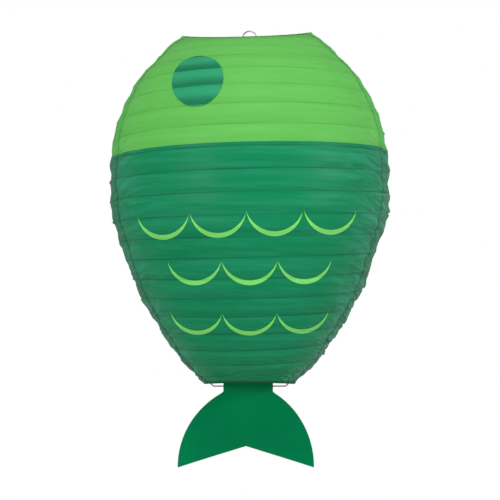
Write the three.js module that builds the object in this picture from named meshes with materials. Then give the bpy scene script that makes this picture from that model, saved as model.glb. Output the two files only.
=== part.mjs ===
// A fish-shaped paper lantern that hangs from a wire expander, head up and tail down.
// Millimetres. +Z up, the printed front faces -Y, the fish's back edge is towards -X.
// Origin: the inside top of the hanging loop, where a hook or a thread bears.
import * as THREE from 'three';
import { mergeVertices } from 'three/addons/utils/BufferGeometryUtils.js';

// ---- Driving dimensions ------------------------------------------------------------------------

// The outline that the paper is stretched to: radius and height, from the top ring to the bottom ring.
const OUTLINE = [
  [69, -4.5], [83.9, -15.5], [100.9, -34.5], [118.9, -55], [132.8, -80], [142.9, -106], [148.3, -140],
  [149.5, -165], [146.9, -205], [135.8, -237], [122, -275], [100, -315], [74.4, -354], [48, -380.5],
];
const TOP_SADDLE = 18; // how far the top ring droops at front and back
const BOTTOM_SADDLE = 8; // how far the bottom ring rises at front and back
const FOLD_ROUNDING = 0.12; // how rounded either ring's fold is where the frame holds it
const SADDLE_REACH = 45; // how fast either dies away along the paper
const TOP_SHIFT = -3; // the top ring sits off centre on the frame's ears
const TOP_TILT = 2; // and its +X side stands higher

const PAPER = 0.3; // thickness of a paper panel
const PATCH = 0.3; // thickness of a pasted patch
const PATCH_GAP = 0.5; // between a panel and a patch on it
const JOINT_GAP = 0.3; // between neighbouring pieces

const RIB_PITCH = 21.2; // one turn of the spiral, measured along the paper
const RIB_START = 226; // where the spiral leaves the top ring, in degrees round from +X by the front
const RIB_RADIUS = 0.4;
const RIB_INSET = 1.6; // the wire's centre lies this far inside the paper
const RIB_END_GAP = 4; // bare stretch of paper between each ring and the spiral's end
const COLOUR_RIB = 8; // the rib that the light head paper ends at, on the front
const COLOUR_LAP = 3.5; // how far above that rib the dark paper starts
const SEAM_ANGLE = 24; // the side seams, in degrees from +X and from -X towards the front

const RING_RADIUS = 0.9; // wire of the top and bottom rings
const HEM_INNER = 1.3;
const HEM_OUTER = 1.8;
const HEM_OPENING = 70; // degrees of the hem's section left open towards the inside
const HEM_DEPTH = 2.4; // the panels start this far from a ring's centre

const WIRE_RADIUS = 0.75; // wire of the expander frame
const LOOP_RADIUS = 7.25; // centreline of the hanging loop
const LOOP_CROSSING = 0.95; // half the sideways step where the loop crosses itself
const LEG_X = 30;
const BAR_Z = -384.5;
const BAR_HALF = 41;
const BAR_END_GAP = 1.2; // between the wire's two ends, in the middle of the bar
const EAR_BEND = 2.5; // radius of the hairpin under the top ring
const FOOT_BEND = 2.4; // radius of the hairpin over the bottom ring

const TAIL_X = -4; // the tail card hangs a little off centre
const TAIL_HALF = 73.8;
const TAIL_TIP_Z = -472;
const TAIL_NOTCH_Z = -449.4;
const TAIL_SHOULDER_Z = -390.6;
const NECK_HALF = 26.9;
const NECK_SHIFT = 2.5; // neck's centre from the tail's centre
const NECK_ABOVE_BAR = 9;
const FIN_SAGITTA = 12.9;
const CARD = 0.8;
const STRAP = 0.5;
const STRAP_WIDTH = 44;
const STRAP_CLEARANCE = 0.45; // round the bar, so that the tail swings
const STRAP_WING = 6.5; // glued part of the strap above and below the bar

const EYE = { x: -49.3, z: -71.5, halfWidth: 25, halfHeight: 29.2 };
const SCALE_HALF_WIDTH = 26;
const SCALE_DEPTH = 23;
const SCALE_THICK = 4.6;
// Each row's tips are at tipZ in the middle, and climb towards +X.
const SCALE_ROWS = [
  { tipZ: -200.7, climb: 0.03, centres: [-82.5, -29.3, 23.2, 76.5] },
  { tipZ: -246.3, climb: 0.012, centres: [-52.7, 0, 52.7] },
  { tipZ: -297.7, climb: 0.012, centres: [-52.7, 0, 52.7] },
];

const SEGMENTS = 24; // facets round half of the lantern

// ---- Materials ---------------------------------------------------------------------------------

const finish = (color, roughness, metalness = 0) =>
  new THREE.MeshStandardMaterial({ color, roughness, metalness });
const LIGHT_PAPER = finish(0x64c358, 0.75);
const DARK_PAPER = finish(0x1a8758, 0.75);
const SCALE_PAPER = finish(0x6ecd5a, 0.75);
const CARD_STOCK = finish(0x007341, 0.45);
const STEEL = finish(0xb9bcbe, 0.35, 1);

const lantern = new THREE.Group();

function add(name, geometry, material) {
  const mesh = new THREE.Mesh(geometry, material);
  mesh.name = name;
  lantern.add(mesh);
  return mesh;
}

// ---- The paper's surface -----------------------------------------------------------------------

const FULL_TURN = 2 * Math.PI;
const outline = new THREE.CatmullRomCurve3(OUTLINE.map(([r, z]) => new THREE.Vector3(r, 0, z)));
outline.arcLengthDivisions = 600;
const LENGTH = outline.getLength();

// How far a ring is folded down at a sine of the angle: 0 at the frame's ears, 1 at front and back,
// nearly straight in between and rounded at the ears.
function fold(sine) {
  return (Math.hypot(sine, FOLD_ROUNDING) - FOLD_ROUNDING) / (Math.hypot(1, FOLD_ROUNDING) - FOLD_ROUNDING);
}

// The point at an angle round the lantern (radians from +X by the front, -Y) and an arc length down
// from the top ring, moved out of the surface by `out`.
function onPaper(angle, arc, out = 0) {
  const share = THREE.MathUtils.clamp(arc / LENGTH, 0, 1);
  const point = outline.getPointAt(share);
  const along = outline.getTangentAt(share);
  const radius = point.x - along.z * out;
  const droop = TOP_SADDLE * Math.exp(-arc / SADDLE_REACH);
  const lift = BOTTOM_SADDLE * Math.exp((arc - LENGTH) / SADDLE_REACH);
  const loose = Math.exp(-arc / SADDLE_REACH);
  const c = Math.cos(angle);
  const s = Math.sin(angle);
  const x = radius * c + TOP_SHIFT * loose;
  const z = point.z + along.x * out + (lift - droop) * fold(s) + TOP_TILT * loose * c;
  return new THREE.Vector3(x, -radius * s, z);
}

// The arc length at which the stretched outline passes a height.
function arcAtHeight(z) {
  let above = 0;
  let below = LENGTH;
  for (let i = 0; i < 30; i += 1) {
    const middle = (above + below) / 2;
    if (outline.getPointAt(middle / LENGTH).z > z) above = middle;
    else below = middle;
  }
  return above;
}

// The point of the paper that lies at x and at a height when the lantern is seen square on from the
// front (side = 1) or the back (side = -1).
function onFace(side, x, z, out) {
  const arc = arcAtHeight(z);
  const radius = outline.getPointAt(arc / LENGTH).x;
  return onPaper(side * Math.acos(x / radius), arc, out);
}

// The arc length at which the spiral, after so many turns, passes an angle.
function ribArc(angle, turn) {
  return RIB_PITCH * (turn + (angle - THREE.MathUtils.degToRad(RIB_START)) / FULL_TURN);
}

// ---- Solids from sheets and wires --------------------------------------------------------------

function closed(positions, triangles) {
  const geometry = new THREE.BufferGeometry();
  geometry.setAttribute('position', new THREE.Float32BufferAttribute(positions, 3));
  geometry.setIndex(triangles);
  return geometry;
}

// A sheet of the given thickness over a grid of points: place(u, v, out) gives the point at u, v from
// 0 to 1. With u running to the right and v down, seen from outside, its faces point out.
function sheet(place, columns, rows, thickness) {
  const positions = [];
  const triangles = [];
  const stride = columns + 1;
  const layer = stride * (rows + 1);
  for (const out of [thickness / 2, -thickness / 2]) {
    for (let j = 0; j <= rows; j += 1) {
      for (let i = 0; i <= columns; i += 1) positions.push(...place(i / columns, j / rows, out).toArray());
    }
  }
  const quad = (a, b, c, d) => triangles.push(a, b, c, a, c, d);
  const at = (i, j) => j * stride + i;
  for (let j = 0; j < rows; j += 1) {
    for (let i = 0; i < columns; i += 1) {
      quad(at(i, j), at(i, j + 1), at(i + 1, j + 1), at(i + 1, j));
      quad(layer + at(i, j), layer + at(i + 1, j), layer + at(i + 1, j + 1), layer + at(i, j + 1));
    }
  }
  for (let i = 0; i < columns; i += 1) {
    quad(at(i, 0), at(i + 1, 0), layer + at(i + 1, 0), layer + at(i, 0));
    quad(at(i, rows), layer + at(i, rows), layer + at(i + 1, rows), at(i + 1, rows));
  }
  for (let j = 0; j < rows; j += 1) {
    quad(at(0, j), layer + at(0, j), layer + at(0, j + 1), at(0, j + 1));
    quad(at(columns, j), at(columns, j + 1), layer + at(columns, j + 1), layer + at(columns, j));
  }
  return closed(positions, triangles);
}

// A path through points that an extrusion steps along one by one, its section square to each bend.
class StationPath extends THREE.Curve {
  constructor(points) {
    super();
    this.points = points;
  }

  getPoint(t, target = new THREE.Vector3()) {
    const last = this.points.length - 1;
    const i = Math.min(Math.floor(t * last + 1e-6), last - 1);
    return target.lerpVectors(this.points[i], this.points[i + 1], t * last - i);
  }

  getPointAt(u, target) {
    return this.getPoint(u, target);
  }

  getTangentAt(u, target = new THREE.Vector3()) {
    const last = this.points.length - 1;
    const i = Math.round(u * last);
    const here = this.points[i];
    const before = here.clone().sub(this.points[Math.max(i - 1, 0)]).normalize();
    const after = this.points[Math.min(i + 1, last)].clone().sub(here).normalize();
    return target.addVectors(before, after).normalize();
  }
}

function circle(radius, sides) {
  const corner = (_, i) => {
    const angle = (i * FULL_TURN) / sides;
    return new THREE.Vector2(radius * Math.cos(angle), radius * Math.sin(angle));
  };
  return new THREE.Shape(Array.from({ length: sides }, corner));
}

function wire(points, radius, sides) {
  return new THREE.ExtrudeGeometry(circle(radius, sides), {
    steps: points.length - 1,
    extrudePath: new StationPath(points),
    bevelEnabled: false,
  });
}

// Points of an arc in the XZ plane, by centre, radius and angles in degrees from +X towards +Z.
function bend(x, z, radius, from, to, steps) {
  return Array.from({ length: steps + 1 }, (_, i) => {
    const angle = THREE.MathUtils.degToRad(from + ((to - from) * i) / steps);
    return new THREE.Vector3(x + radius * Math.cos(angle), 0, z + radius * Math.sin(angle));
  });
}

// ---- Paper shell -------------------------------------------------------------------------------

const SEAM_GAP = JOINT_GAP / 2 / Math.min(...OUTLINE.map(([r]) => r));
const RIGHT_SEAM = THREE.MathUtils.degToRad(SEAM_ANGLE);
const LEFT_SEAM = Math.PI - RIGHT_SEAM;
const HALVES = {
  front: { from: RIGHT_SEAM + SEAM_GAP, to: LEFT_SEAM - SEAM_GAP },
  back: { from: LEFT_SEAM + SEAM_GAP, to: FULL_TURN + RIGHT_SEAM - SEAM_GAP },
};

// Seen from outside, the angle from +X by the front runs from right to left.
function panel(half, startArc, endArc, rows) {
  const { from, to } = HALVES[half];
  const columns = Math.round(((to - from) / Math.PI) * SEGMENTS);
  const place = (u, v, out) => {
    const angle = THREE.MathUtils.lerp(to, from, u);
    return onPaper(angle, THREE.MathUtils.lerp(startArc(angle), endArc(angle), v), out);
  };
  return sheet(place, columns, rows, PAPER);
}

// The dark paper starts along a rib on the front, and runs straight from seam to seam on the back.
function colourEdge(angle) {
  const onFront = (seam) => ribArc(seam, COLOUR_RIB) - COLOUR_LAP;
  if (angle <= LEFT_SEAM) return onFront(angle);
  const share = (angle - LEFT_SEAM) / (FULL_TURN + RIGHT_SEAM - LEFT_SEAM);
  return THREE.MathUtils.lerp(onFront(LEFT_SEAM), onFront(RIGHT_SEAM), share);
}

for (const half of ['front', 'back']) {
  const topEdge = () => HEM_DEPTH;
  const headEnd = (angle) => colourEdge(angle) - JOINT_GAP;
  const bottomEdge = () => LENGTH - HEM_DEPTH;
  add(`head_paper_${half}`, panel(half, topEdge, headEnd, 8), LIGHT_PAPER);
  add(`body_paper_${half}`, panel(half, colourEdge, bottomEdge, 13), DARK_PAPER);
}

// ---- Rings, hems and the spiral rib ------------------------------------------------------------

// Bends a ring made flat about Z at a given arc length to the saddle that the frame pulls it into.
function toRing(geometry, arc) {
  const base = outline.getPointAt(arc / LENGTH);
  const position = geometry.attributes.position;
  for (let i = 0; i < position.count; i += 1) {
    const angle = Math.atan2(-position.getY(i), position.getX(i));
    const shift = onPaper(angle, arc);
    shift.x -= base.x * Math.cos(angle);
    position.setXYZ(i, position.getX(i) + shift.x, position.getY(i), position.getZ(i) + shift.z);
  }
  return geometry;
}

function ring(arc) {
  const radius = outline.getPointAt(arc / LENGTH).x;
  return toRing(new THREE.TorusGeometry(radius, RING_RADIUS, 6, 2 * SEGMENTS), arc);
}

// A strip of paper folded round a ring, open towards the lantern's axis.
function hem(arc) {
  const radius = outline.getPointAt(arc / LENGTH).x;
  const steps = 6;
  const from = Math.PI - THREE.MathUtils.degToRad(HEM_OPENING / 2);
  const section = [];
  for (const [size, direction] of [[HEM_OUTER, 1], [HEM_INNER, -1]]) {
    for (let i = 0; i <= steps; i += 1) {
      const angle = direction * from * ((2 * i) / steps - 1);
      section.push(new THREE.Vector2(radius + size * Math.cos(angle), size * Math.sin(angle)));
    }
  }
  section.push(section[0].clone());
  const turned = new THREE.LatheGeometry(section, 2 * SEGMENTS).rotateX(Math.PI / 2);
  return toRing(turned, arc);
}

add('top_ring', ring(0), STEEL);
add('bottom_ring', ring(LENGTH), STEEL);
add('top_hem', hem(0), LIGHT_PAPER);
add('bottom_hem', hem(LENGTH), DARK_PAPER);

function spiral() {
  const start = THREE.MathUtils.degToRad(RIB_START) + (RIB_END_GAP / RIB_PITCH) * FULL_TURN;
  const turns = (LENGTH - 2 * RIB_END_GAP) / RIB_PITCH;
  const steps = Math.round(turns * SEGMENTS);
  const points = Array.from({ length: steps + 1 }, (_, i) => {
    const angle = start + (turns * FULL_TURN * i) / steps;
    return onPaper(angle, ribArc(angle, 0), -RIB_INSET);
  });
  return wire(points, RIB_RADIUS, 4);
}
add('rib_spiral', spiral(), STEEL);

// ---- Expander frame ----------------------------------------------------------------------------

// One wire: bar, foot, leg, ear, loop, ear, leg, foot, bar. `side` is 1 for +X and -1 for -X.
function frameSide(side) {
  const angle = side > 0 ? 0 : Math.PI;
  const top = onPaper(angle, 0);
  const topX = Math.abs(top.x);
  const clear = HEM_OUTER + WIRE_RADIUS + JOINT_GAP;
  const earZ = top.z - clear - EAR_BEND;
  const footX = OUTLINE.at(-1)[0] - 0.5;
  const footZ = OUTLINE.at(-1)[1] + clear + FOOT_BEND;
  const points = [
    new THREE.Vector3(BAR_END_GAP / 2, 0, BAR_Z),
    ...bend(BAR_HALF - 3, BAR_Z + 3, 3, -90, -40, 3),
    ...bend(footX, footZ, FOOT_BEND, -115, 100, 7),
    ...bend(LEG_X + 6, footZ + 14, 6, -110, -180, 4),
    ...bend(LEG_X + 6, earZ - 14, 6, 180, 110, 4),
    ...bend(topX, earZ, EAR_BEND, -100, 98, 7),
    new THREE.Vector3(topX - 12, 0, earZ + EAR_BEND - 1.5),
  ];
  for (const point of points) point.x *= side;
  return points;
}

function framePath() {
  const centre = -(LOOP_RADIUS - WIRE_RADIUS);
  const loop = bend(0, centre, LOOP_RADIUS, -90, 270, 16);
  loop.forEach((point, i) => {
    point.y = LOOP_CROSSING * ((2 * i) / (loop.length - 1) - 1);
  });
  const arm = (side) => new THREE.Vector3(side * 9, side * LOOP_CROSSING, centre - LOOP_RADIUS);
  return [...frameSide(-1), arm(-1), ...loop, arm(1), ...frameSide(1).reverse()];
}
add('expander_frame', wire(framePath(), WIRE_RADIUS, 8), STEEL);

// ---- Pasted patches ----------------------------------------------------------------------------

// A patch between two curves z = upper(t) and z = lower(t) at x = across(t), for t from -1 to 1.
function patch(side, across, upper, lower, columns, rows) {
  const out = PAPER / 2 + PATCH_GAP + PATCH / 2;
  const place = (u, v, half) => {
    const t = side * (2 * u - 1);
    return onFace(side, across(t), THREE.MathUtils.lerp(upper(t), lower(t), v), out + half);
  };
  return sheet(place, columns, rows, PATCH);
}

function eye(side) {
  const reach = 0.95; // leaves the ends of the disc a little blunt
  const angle = (t) => (t * reach * Math.PI) / 2;
  const across = (t) => EYE.x + EYE.halfWidth * Math.sin(angle(t));
  const upper = (t) => EYE.z + EYE.halfHeight * Math.cos(angle(t));
  const lower = (t) => EYE.z - EYE.halfHeight * Math.cos(angle(t));
  return patch(side, across, upper, lower, 12, 6);
}

// Depth of a circular arc of the given sagitta below its chord, at x from the middle.
function arcDepth(x, sagitta) {
  const radius = (SCALE_HALF_WIDTH ** 2 + sagitta ** 2) / (2 * sagitta);
  return Math.sqrt(radius ** 2 - x ** 2) - (radius - sagitta);
}

function scale(side, centre, tipZ) {
  const reach = 0.97; // leaves the tips a little blunt
  const across = (t) => SCALE_HALF_WIDTH * reach * Math.sin((t * Math.PI) / 2);
  const upper = (t) => tipZ - arcDepth(across(t), SCALE_DEPTH - SCALE_THICK);
  const lower = (t) => tipZ - arcDepth(across(t), SCALE_DEPTH);
  return patch(side, (t) => centre + across(t), upper, lower, 10, 1);
}

for (const [half, side] of [['front', 1], ['back', -1]]) {
  add(`eye_${half}`, eye(side), DARK_PAPER);
  let count = 0;
  for (const row of SCALE_ROWS) {
    for (const centre of row.centres) {
      count += 1;
      add(`scale_${half}_${count}`, scale(side, centre, row.tipZ + row.climb * centre), SCALE_PAPER);
    }
  }
}

// ---- Tail --------------------------------------------------------------------------------------

// The card hangs in front of the bar. Its fins' outer edges are arcs from the neck to the tips.
const CARD_Y = -(WIRE_RADIUS + STRAP_CLEARANCE + CARD);

function finEdge(shape, fromX, toX, fromZ, toZ) {
  const chord = new THREE.Vector2(toX - fromX, toZ - fromZ);
  const length = chord.length();
  const radius = (length ** 2 / 4 + FIN_SAGITTA ** 2) / (2 * FIN_SAGITTA);
  const outward = new THREE.Vector2(-chord.y, chord.x).normalize();
  const middle = new THREE.Vector2((fromX + toX) / 2, (fromZ + toZ) / 2);
  const centre = middle.addScaledVector(outward, -(radius - FIN_SAGITTA));
  const start = Math.atan2(fromZ - centre.y, fromX - centre.x);
  const end = Math.atan2(toZ - centre.y, toX - centre.x);
  shape.absarc(centre.x, centre.y, radius, start, end, true);
}

function tailCard() {
  const left = TAIL_X + NECK_SHIFT - NECK_HALF;
  const right = TAIL_X + NECK_SHIFT + NECK_HALF;
  const top = BAR_Z + NECK_ABOVE_BAR;
  const shape = new THREE.Shape();
  shape.moveTo(left, top);
  shape.lineTo(right, top);
  finEdge(shape, right, TAIL_X + TAIL_HALF, TAIL_SHOULDER_Z, TAIL_TIP_Z);
  shape.lineTo(TAIL_X, TAIL_NOTCH_Z);
  shape.lineTo(TAIL_X - TAIL_HALF, TAIL_TIP_Z);
  finEdge(shape, TAIL_X - TAIL_HALF, left, TAIL_TIP_Z, TAIL_SHOULDER_Z);
  shape.closePath();
  const card = new THREE.ExtrudeGeometry(shape, { depth: CARD, bevelEnabled: false, curveSegments: 14 });
  return card.rotateX(Math.PI / 2).translate(0, CARD_Y + CARD, 0);
}
add('tail', tailCard(), CARD_STOCK);

// A paper strap behind the bar: two wings glued to the card and a half-round saddle between them.
function strap() {
  const inner = WIRE_RADIUS + STRAP_CLEARANCE;
  const wing = CARD_Y + CARD + JOINT_GAP;
  const shape = new THREE.Shape();
  // Drawn in (y, z) about the bar.
  shape.moveTo(wing, inner + STRAP_WING);
  shape.lineTo(wing, inner);
  shape.absarc(0, 0, inner, Math.atan2(inner, wing), -Math.atan2(inner, wing), true);
  shape.lineTo(wing, -inner);
  shape.lineTo(wing, -inner - STRAP_WING);
  shape.lineTo(wing + STRAP, -inner - STRAP_WING);
  shape.lineTo(wing + STRAP, -inner - STRAP);
  shape.absarc(0, 0, inner + STRAP, -Math.PI / 2, Math.PI / 2, false);
  shape.lineTo(wing + STRAP, inner + STRAP);
  shape.lineTo(wing + STRAP, inner + STRAP_WING);
  shape.closePath();
  const solid = new THREE.ExtrudeGeometry(shape, {
    depth: STRAP_WIDTH,
    bevelEnabled: false,
    curveSegments: 10,
  });
  // (y, z, x) to (x, y, z)
  solid.applyMatrix4(new THREE.Matrix4().set(0, 0, 1, 0, 1, 0, 0, 0, 0, 1, 0, 0, 0, 0, 0, 1));
  return solid.translate(TAIL_X + NECK_SHIFT - STRAP_WIDTH / 2, 0, BAR_Z);
}
add('tail_strap', strap(), CARD_STOCK);

for (const mesh of lantern.children) {
  mesh.geometry.deleteAttribute('uv');
  mesh.geometry.deleteAttribute('normal');
  mesh.geometry = mergeVertices(mesh.geometry, 1e-3);
  mesh.geometry.computeVertexNormals();
}

export default lantern;
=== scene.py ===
"""The looks of a fish-shaped hanging paper lantern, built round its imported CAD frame.

Metres, +Z up, the printed front faces -Y. The origin is the inside top of the hanging loop.
"""

import math

import bmesh
import bpy
import numpy as np
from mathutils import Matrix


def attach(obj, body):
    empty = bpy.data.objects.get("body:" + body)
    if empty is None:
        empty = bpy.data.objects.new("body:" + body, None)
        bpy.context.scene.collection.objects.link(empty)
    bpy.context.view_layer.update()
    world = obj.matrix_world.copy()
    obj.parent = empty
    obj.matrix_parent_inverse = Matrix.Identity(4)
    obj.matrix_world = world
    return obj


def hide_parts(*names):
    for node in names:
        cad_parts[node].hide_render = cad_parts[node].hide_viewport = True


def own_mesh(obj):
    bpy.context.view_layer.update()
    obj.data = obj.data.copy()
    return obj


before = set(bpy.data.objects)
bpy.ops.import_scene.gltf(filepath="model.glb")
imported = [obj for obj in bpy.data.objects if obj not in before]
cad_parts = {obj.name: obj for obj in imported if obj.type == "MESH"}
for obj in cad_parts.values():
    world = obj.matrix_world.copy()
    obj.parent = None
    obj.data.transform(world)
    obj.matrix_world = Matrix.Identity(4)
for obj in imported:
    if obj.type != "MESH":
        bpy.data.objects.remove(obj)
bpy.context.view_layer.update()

MM = 0.001

# ---- Driving dimensions, which repeat the CAD model's ------------------------------------------

# Radius and height of the outline that the paper is stretched to, in millimetres, from the top ring
# to the bottom ring.
OUTLINE = [
    (69, -4.5), (83.9, -15.5), (100.9, -34.5), (118.9, -55), (132.8, -80), (142.9, -106), (148.3, -140),
    (149.5, -165), (146.9, -205), (135.8, -237), (122, -275), (100, -315), (74.4, -354), (48, -380.5),
]
TOP_SADDLE = 18 * MM
BOTTOM_SADDLE = 8 * MM
FOLD_ROUNDING = 0.12
SADDLE_REACH = 45 * MM
TOP_SHIFT = -3 * MM
TOP_TILT = 2 * MM

RIB_PITCH = 21.2 * MM
RIB_START = math.radians(226)
RIB_RADIUS = 0.4 * MM
RIB_END_GAP = 2 * MM  # along the paper, from a ring to the end of the spiral rib
COLOUR_RIB = 8  # the rib that the light head paper ends at, on the front
COLOUR_LAP = 3.5 * MM
SEAM_ANGLE = math.radians(24)

RING_RADIUS = 0.9 * MM
HEM_RADIUS = 1.5 * MM
HEM_DEPTH = 0.3 * MM  # the panels end this far from a ring's centre
SEAM_LAP = math.radians(5)  # the back sheet's edges reach this far over the front one's

BAR_Z = -384.5 * MM
BAR_HALF = 41 * MM
WIRE_RADIUS = 0.75 * MM
LOOP_RADIUS = 7.25 * MM
LOOP_CROSSING = 0.95 * MM
LEG_X = 30 * MM
EAR_BEND = 2.5 * MM
FOOT_BEND = 2.4 * MM
WIRE_CLEAR = 2.85 * MM  # from a ring's centre to the frame wire's centre
BAR_END_GAP = 1.2 * MM

TAIL_X = -4 * MM
TAIL_HALF = 73.8 * MM
TAIL_TIP_Z = -472 * MM
TAIL_NOTCH_Z = -449.4 * MM
TAIL_SHOULDER_Z = -390.6 * MM
NECK_HALF = 26.9 * MM
NECK_SHIFT = 2.5 * MM
NECK_ABOVE_BAR = 9 * MM
FIN_SAGITTA = 12.9 * MM

EYE_X, EYE_Z = -49.3 * MM, -71.5 * MM
EYE_HALF_WIDTH, EYE_HALF_HEIGHT = 25 * MM, 29.2 * MM
SCALE_HALF_WIDTH = 26 * MM
SCALE_DEPTH = 23 * MM
SCALE_THICK = 4.6 * MM
# The height of a row's tips in the middle, their climb towards +X, and their centres in millimetres.
SCALE_ROWS = [
    (-200.7 * MM, 0.03, (-82.5, -29.3, 23.2, 76.5)),
    (-246.3 * MM, 0.012, (-52.7, 0, 52.7)),
    (-297.7 * MM, 0.012, (-52.7, 0, 52.7)),
]

# ---- Camera and light --------------------------------------------------------------------------

CAMERA_DISTANCE = 0.944
CAMERA_Z = -0.231
AIM_Z = -0.2365
CAMERA_X = 0.0005
LENS_MM = 62.6
ROOM_LIGHT = 0.42


def make_camera():
    data = bpy.data.cameras.new("camera")
    data.lens = LENS_MM
    data.sensor_width = 36
    camera = bpy.data.objects.new("camera", data)
    camera.location = (CAMERA_X, -CAMERA_DISTANCE, CAMERA_Z)
    down = math.atan2(CAMERA_Z - AIM_Z, CAMERA_DISTANCE)
    camera.rotation_euler = (math.pi / 2 - down, 0, 0)
    bpy.context.scene.collection.objects.link(camera)
    bpy.context.scene.camera = camera


make_camera()


def area_light(name, location, target, size, watts):
    data = bpy.data.lights.new(name, "AREA")
    data.shape = "DISK"
    data.size = size
    data.energy = watts
    light = bpy.data.objects.new(name, data)
    light.location = location
    aim = np.array(target) - np.array(location)
    yaw = math.atan2(-aim[0], aim[1])
    pitch = math.atan2(aim[2], math.hypot(aim[0], aim[1])) + math.pi / 2
    light.rotation_euler = (pitch, 0, yaw)
    bpy.context.scene.collection.objects.link(light)


def make_world():
    """A white room: plain white behind the object, and a softer light for the object itself."""
    world = bpy.data.worlds.new("studio")
    world.use_nodes = True
    tree = world.node_tree
    room = tree.nodes["Background"]
    room.inputs["Color"].default_value = (0.97, 0.985, 1, 1)
    room.inputs["Strength"].default_value = ROOM_LIGHT
    seen = tree.nodes.new("ShaderNodeBackground")
    seen.inputs["Color"].default_value = (1, 1, 1, 1)
    path = tree.nodes.new("ShaderNodeLightPath")
    mixed = tree.nodes.new("ShaderNodeMixShader")
    tree.links.new(path.outputs["Is Camera Ray"], mixed.inputs["Fac"])
    tree.links.new(room.outputs["Background"], mixed.inputs[1])
    tree.links.new(seen.outputs["Background"], mixed.inputs[2])
    tree.links.new(mixed.outputs["Shader"], tree.nodes["World Output"].inputs["Surface"])
    bpy.context.scene.world = world
    bpy.context.scene.view_settings.view_transform = "Standard"


make_world()
area_light("key", (-1.0, -1.3, 0.0), (0, 0, -0.2), 0.5, 15)
area_light("fill", (1.35, -0.8, 0.15), (0, 0, -0.2), 0.4, 14)
area_light("top", (0.1, -1.0, 1.2), (0, 0, -0.15), 0.6, 13)

# ---- Small numeric tools -----------------------------------------------------------------------


def spline(points, samples):
    """Points of a smooth curve through the given ones, evenly spaced by length."""
    p = np.array(points, float)
    p = np.vstack([2 * p[0] - p[1], p, 2 * p[-1] - p[-2]])
    found = []
    for i in range(1, len(p) - 2):
        t = np.linspace(0, 1, 40, endpoint=False)[:, None]
        a, b, c, d = p[i - 1 : i + 3]
        lengths = [math.sqrt(np.linalg.norm(q - r)) for q, r in ((b, a), (c, b), (d, c))]
        ta, tb = 0.0, lengths[0]
        tc, td = tb + lengths[1], tb + lengths[1] + lengths[2]
        x = tb + (tc - tb) * t
        ab = ((tb - x) * a + (x - ta) * b) / (tb - ta)
        bc = ((tc - x) * b + (x - tb) * c) / (tc - tb)
        cd = ((td - x) * c + (x - tc) * d) / (td - tc)
        abc = ((tc - x) * ab + (x - ta) * bc) / (tc - ta)
        bcd = ((td - x) * bc + (x - tb) * cd) / (td - tb)
        found.append(((tc - x) * abc + (x - tb) * bcd) / (tc - tb))
    curve = np.vstack([*found, p[-2][None]])
    along = np.r_[0, np.cumsum(np.linalg.norm(np.diff(curve, axis=0), axis=1))]
    even = np.linspace(0, along[-1], samples)
    columns = [np.interp(even, along, curve[:, k]) for k in range(curve.shape[1])]
    return np.stack(columns, 1), along[-1]


def lattice(seed, i, j):
    """A repeatable random number from -1 to 1 for each pair of whole numbers."""
    mixed = np.sin(i * 127.1 + j * 311.7 + seed * 74.7) * 43758.5453
    return 2 * (mixed - np.floor(mixed)) - 1


def noise(x, y, seed, wrap=None):
    """Smooth noise from -1 to 1, with cells one unit across. It repeats after `wrap` cells of x."""
    i, j = np.floor(x), np.floor(y)
    u, v = x - i, y - j
    u, v = u * u * (3 - 2 * u), v * v * (3 - 2 * v)
    k = i + 1
    if wrap:
        i, k = np.mod(i, wrap), np.mod(k, wrap)
    low = lattice(seed, i, j) * (1 - u) + lattice(seed, k, j) * u
    high = lattice(seed, i, j + 1) * (1 - u) + lattice(seed, k, j + 1) * u
    return low * (1 - v) + high * v


def ridges(x, y, seed):
    """Noise with sharp crests, for creases."""
    return 1 - 2 * np.abs(noise(x, y, seed))


def facets(x, y, seed, wrap=None):
    """Noise from -1 to 1 made of uneven flat triangles that meet in sharp creases."""
    x, y = x + 0.45 * noise(x, y, seed + 40, wrap), y + 0.45 * noise(x, y, seed + 41, wrap)
    i, j = np.floor(x), np.floor(y)
    u, v = x - i, y - j
    k = i + 1
    if wrap:
        i, k = np.mod(i, wrap), np.mod(k, wrap)
    a, b = lattice(seed, i, j), lattice(seed, k, j)
    c, d = lattice(seed, i, j + 1), lattice(seed, k, j + 1)
    near = a + (b - a) * u + (c - a) * v
    far = d + (c - d) * (1 - u) + (b - d) * (1 - v)
    return np.where(u + v < 1, near, far)


def smoothstep(low, high, x):
    t = np.clip((x - low) / (high - low), 0, 1)
    return t * t * (3 - 2 * t)


# ---- The paper's surface -----------------------------------------------------------------------

PROFILE, LENGTH = spline([(r * MM, 0, z * MM) for r, z in OUTLINE], 2001)
PROFILE_ARC = np.linspace(0, LENGTH, len(PROFILE))
PROFILE_R, PROFILE_Z = PROFILE[:, 0], PROFILE[:, 2]
SLOPE_R = np.gradient(PROFILE_R, PROFILE_ARC)
SLOPE_Z = np.gradient(PROFILE_Z, PROFILE_ARC)


def fold(sine):
    """How far a ring is folded down at a sine of the angle: 0 at the frame's ears, 1 at front and back."""
    whole = math.hypot(1, FOLD_ROUNDING) - FOLD_ROUNDING
    return (np.hypot(sine, FOLD_ROUNDING) - FOLD_ROUNDING) / whole


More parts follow.
